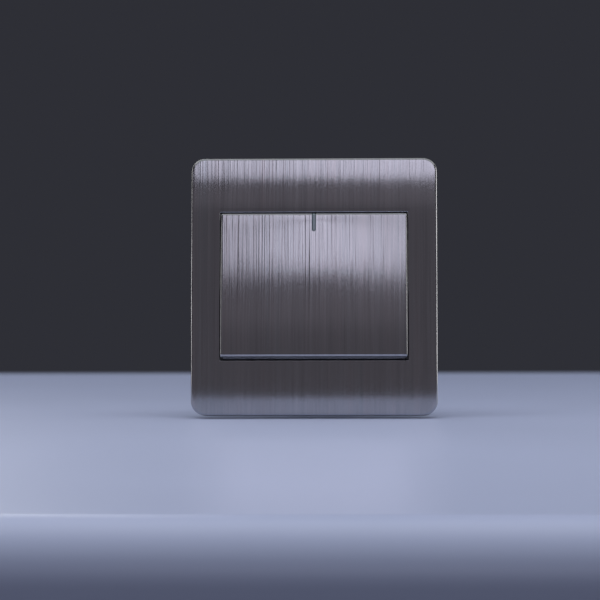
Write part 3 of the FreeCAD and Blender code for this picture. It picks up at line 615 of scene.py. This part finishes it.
def plated(name, tone, roughness=0.3, tint=(0.55, 0.56, 0.60), grain=1500.0):
    """Plated or rolled metal: faint rolling lines, soft clouds of a second tint, dull specks."""
    f = Finish(name, base_color=tone, metallic=1.0, roughness=roughness)
    cloud = f.noise((120, 120, 120), detail=5)
    lines = f.noise((60, grain, grain), detail=2, shift=7.0)
    speck = f.step(f.noise((900, 900, 900), shift=3.0), 0.35, 0.6)
    f.feed("Base Color", f.mix(speck * 0.35, f.mix(cloud * 0.4 + 0.4, tone, tint),
                               tuple(c * 0.6 for c in tone)))
    f.feed("Roughness", cloud * 0.07 + lines * 0.05 + speck * 0.12 + roughness)
    f.bump(lines + cloud * 0.6, 0.15, 0.00002)
    return f.material


def clear_glass(name):
    """Thin lamp glass with faint haze."""
    f = Finish(name, base_color=(0.92, 0.93, 0.95), roughness=0.05, transmission_weight=0.85,
               ior=1.47)
    f.feed("Roughness", f.step(f.noise((500, 500, 500), detail=3), -0.3, 0.9) * 0.12 + 0.03)
    return f.material


def banded(name, tone):
    """A small resistor's lacquer with plain colour rings along X."""
    f = Finish(name, base_color=tone, roughness=0.35, coat_weight=0.4)
    rings = f.node("ValToRGB", {"stops": [(0.0, tone), (0.30, (0.30, 0.06, 0.04)), (0.36, tone),
                                          (0.50, (0.10, 0.05, 0.22)), (0.56, tone),
                                          (0.68, (0.50, 0.30, 0.02)), (0.74, tone)]},
                   {"Fac": f.step(f.x, -0.004, 0.004)}, "Color")
    rings.node.color_ramp.interpolation = "CONSTANT"
    f.feed("Base Color", rings)
    f.feed("Roughness", f.noise((600, 600, 600)) * 0.05 + 0.35)
    return f.material


class SWITCH_OT_finishes(bpy.types.Operator):
    """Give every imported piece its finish"""
    bl_idname = "switch.finishes"
    bl_label = "Finishes"

    def execute(self, context):
        t = context.scene.switch_finish
        carrier = moulding("carrier_satin", t.carrier, grain=3200, roughness=0.38)
        rocker_body = moulding("rocker_satin", tuple(c * 0.8 for c in t.carrier), grain=3200,
                               roughness=0.45)
        housing = moulding("housing_moulding", t.housing, roughness=0.46, mottle=0.05)
        cover = moulding("cover_moulding", tuple(c * 0.94 for c in t.housing), roughness=0.42,
                         mottle=0.05)
        cradle = moulding("cradle_moulding", (0.50, 0.50, 0.48), roughness=0.4, mottle=0.06)
        nylon = moulding("nylon", (0.72, 0.69, 0.58), roughness=0.28, mottle=0.05)
        zinc = plated("zinc_plate", t.zinc, roughness=0.34)
        screw = plated("passivated_screw", (0.66, 0.62, 0.50), roughness=0.26,
                       tint=(0.60, 0.64, 0.60))
        brass = plated("machined_brass", t.brass, roughness=0.26, tint=(0.62, 0.42, 0.20))
        copper = plated("rolled_copper", t.copper, roughness=0.3, tint=(0.60, 0.36, 0.24))
        silver = plated("silver_alloy", (0.82, 0.81, 0.78), roughness=0.36)
        tinned = plated("tinned_lead", (0.68, 0.67, 0.65), roughness=0.3)
        finish_of = {
            "cover_frame": carrier, "rocker_cap": rocker_body, "rocker_cradle": cradle,
            "plunger": nylon, "support_yoke": zinc,
            "earth_terminal": brass, "earth_screw": screw, "mechanism_housing": housing,
            "mechanism_cover": cover, "housing_screws": screw, "contact_bridge": copper,
            "moving_contacts": silver, "fixed_contacts": silver, "common_terminal": copper,
            "terminal_l1": copper, "terminal_l2": copper, "terminal_blocks": brass,
            "terminal_screws": screw, "neon_lamp": clear_glass("lamp_glass"),
            "lamp_holder": cradle, "lamp_resistor": banded("resistor", (0.62, 0.46, 0.26)),
            "lamp_leads": tinned,
        }
        shown = {name for name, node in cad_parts.items() if not node.hide_render}
        if shown - set(finish_of):
            raise RuntimeError(f"these pieces have no finish: {sorted(shown - set(finish_of))}")
        for name, material in finish_of.items():
            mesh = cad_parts[name].data
            mesh.materials.clear()
            mesh.materials.append(material)
        return {"FINISHED"}


# ---- studio ----
TABLE_COLUMNS = 9
TABLE_DROP = 0.25       # how far the table's front face goes down
COOL, NEUTRAL, DAYLIGHT, WARM = (0.845, 0.83, 1.0), (1, 1, 1), (0.92, 0.97, 1.0), (1.0, 0.97, 0.92)

# azimuth and elevation in degrees, distance, width, height, radiance, tone
LIGHTS = {
    "overhead": (4.2, 20.45, 4.5, 1.95, 0.954, 1.52, COOL),
    "overhead_skirt": (4.2, 14.15, 4.5, 1.95, 0.043, 1.25, COOL),
    "top": (0, 75, 1.4, 3.0, 2.6, 0.66, DAYLIGHT),
    "right": (88, 6, 0.9, 0.5, 0.8, 2.0, NEUTRAL),
    "left": (-84, 6, 1.0, 0.35, 0.8, 1.7, NEUTRAL),
    "front_fill": (0, 2.7, 4.5, 7.0, 1.70, 0.105, (0.93, 0.86, 0.98)),
    "soffit": (3, 12.6, 4.5, 3.0, 0.16, 0.065, (0.92, 0.84, 0.98)),
    "rear_left": (215, 35, 0.9, 0.6, 0.5, 1.1, NEUTRAL),
    "rear_right": (140, 30, 0.9, 0.5, 0.5, 0.8, NEUTRAL),
}


def table_top(name, s):
    """A table's surface: flat from behind to front, then a quarter round, then a drop. Each point
    is its place along and up on the level table, turned by the lean about the plate's foot."""
    q = np.linspace(0, pi / 2, 25)[1:]
    flat = np.linspace(s.behind, -s.front, 30)
    along = np.concatenate([flat, -s.front - s.edge * np.sin(q), [-s.front - s.edge]])
    up = np.concatenate([flat * 0, -s.edge * (1 - np.cos(q)), [-s.edge - TABLE_DROP]])
    x = np.linspace(-s.half_width, s.half_width, TABLE_COLUMNS)
    y = along * cos(s.lean) - up * sin(s.lean)
    z = along * sin(s.lean) + up * cos(s.lean) + PLATE_LOW.z - s.foot_gap
    points = np.stack(np.broadcast_arrays(x, y[:, None], z[:, None]), -1)
    rows = np.arange(len(y) * TABLE_COLUMNS).reshape(-1, TABLE_COLUMNS)
    quads = np.stack([rows[:-1, :-1], rows[1:, :-1], rows[1:, 1:], rows[:-1, 1:]], -1)
    quads = quads.reshape(-1, 4)
    mesh = bpy.data.meshes.new(name)
    mesh.from_pydata(points.reshape(-1, 3).tolist(), [], quads.tolist())
    mesh.shade_smooth()
    table = bpy.data.objects.new(name, mesh)
    bpy.context.scene.collection.objects.link(table)
    return table


def soft_light(name, azimuth, elevation, distance, width, height, radiance, tone,
               aim=(0, 0, 0), shine=True):
    """A rectangular area light in a direction seen from the plate, facing it. Its power is the
    radiance times pi times its area. One that does not shine lights matt surfaces only."""
    data = bpy.data.lights.new(name, "AREA")
    data.shape, data.size, data.size_y, data.color = "RECTANGLE", width, height, tone
    data.energy = radiance * pi * width * height
    lamp = bpy.data.objects.new(name, data)
    a, e = radians(azimuth), radians(elevation)
    back = Vector((sin(a) * cos(e), -cos(a) * cos(e), sin(e)))
    lamp.location = back * distance
    lamp.rotation_mode = "QUATERNION"
    lamp.rotation_quaternion = (Vector(aim) - lamp.location).to_track_quat("-Z", "Y")
    lamp.visible_camera, lamp.visible_glossy = False, shine
    bpy.context.scene.collection.objects.link(lamp)
    return lamp


class SWITCH_OT_stage(bpy.types.Operator):
    """Set up the table, the soft lights, the room's tone and the camera"""
    bl_idname = "switch.stage"
    bl_label = "Studio"

    def execute(self, context):
        s = context.scene.switch_studio
        table = table_top("table", s)
        f = Finish("table_matt", base_color=s.floor, roughness=0.32, specular_ior_level=0.35)
        haze = f.noise((9, 9, 9), detail=3)
        f.feed("Base Color", f.mix(haze * 0.5 + 0.5, tuple(c * 0.97 for c in s.floor),
                                   tuple(min(1, c * 1.02) for c in s.floor)))
        f.feed("Roughness", haze * 0.02 + 0.32)
        f.feed("Alpha", 1.0 - f.step(f.y, s.fade_from, s.fade_to))
        table.data.materials.append(f.material)

        world = bpy.data.worlds.new("room")
        world.use_nodes = True
        world.node_tree.nodes["Background"].inputs["Color"].default_value = (*s.backdrop, 1)
        context.scene.world = world
        context.scene.view_settings.view_transform = "Standard"

        for name, settings in LIGHTS.items():
            soft_light(name, *settings)
        soft_light("table_front", 0, 60, 0.5, 0.7, 0.3, 2.2, WARM, aim=(0, -0.2, -0.06),
                   shine=False)

        data = bpy.data.cameras.new("camera")
        data.lens, data.sensor_width = s.lens, 36
        data.clip_start, data.clip_end = 0.01, 20
        camera = bpy.data.objects.new("camera", data)
        back = Vector((sin(s.azimuth) * cos(s.elevation), -cos(s.azimuth) * cos(s.elevation),
                       sin(s.elevation)))
        camera.location = back * s.distance
        aim = Vector((s.aim_x, -0.008, s.aim_z))
        camera.rotation_mode = "QUATERNION"
        camera.rotation_quaternion = (aim - camera.location).to_track_quat("-Z", "Y")
        context.scene.collection.objects.link(camera)
        context.scene.camera = camera
        return {"FINISHED"}


class SWITCH_PT_panel(bpy.types.Panel):
    """Lists the switch's operators"""
    bl_label = "Rocker wall switch"
    bl_idname = "SWITCH_PT_panel"
    bl_space_type = "VIEW_3D"
    bl_region_type = "UI"
    bl_category = "Switch"

    def draw(self, context):
        for operator in OPERATORS:
            self.layout.operator(operator.bl_idname)
        for group in GROUPS:
            box = self.layout.box()
            settings = getattr(context.scene, group)
            for key in settings.bl_rna.properties.keys():
                if key not in ("rna_type", "name"):
                    box.prop(settings, key)


GROUPS = {"switch_plate": PlateSizes, "switch_rocker": RockerSizes, "switch_spring": SpringSizes,
          "switch_finish": Finishes, "switch_studio": Studio}
OPERATORS = [SWITCH_OT_plate_skin, SWITCH_OT_rocker_skin, SWITCH_OT_indicator, SWITCH_OT_spring,
             SWITCH_OT_finishes, SWITCH_OT_stage]


def register():
    for cls in [*GROUPS.values(), *OPERATORS, SWITCH_PT_panel]:
        bpy.utils.register_class(cls)
    for name, cls in GROUPS.items():
        setattr(bpy.types.Scene, name, bpy.props.PointerProperty(type=cls))


def unregister():
    for name in GROUPS:
        delattr(bpy.types.Scene, name)
    for cls in [SWITCH_PT_panel, *OPERATORS[::-1], *list(GROUPS.values())[::-1]]:
        bpy.utils.unregister_class(cls)


def main():
    register()
    bpy.ops.switch.plate_skin()
    bpy.ops.switch.rocker_skin()
    bpy.ops.switch.indicator()
    bpy.ops.switch.spring()
    bpy.ops.switch.finishes()
    bpy.ops.switch.stage()


if __name__ == "__main__":
    main()
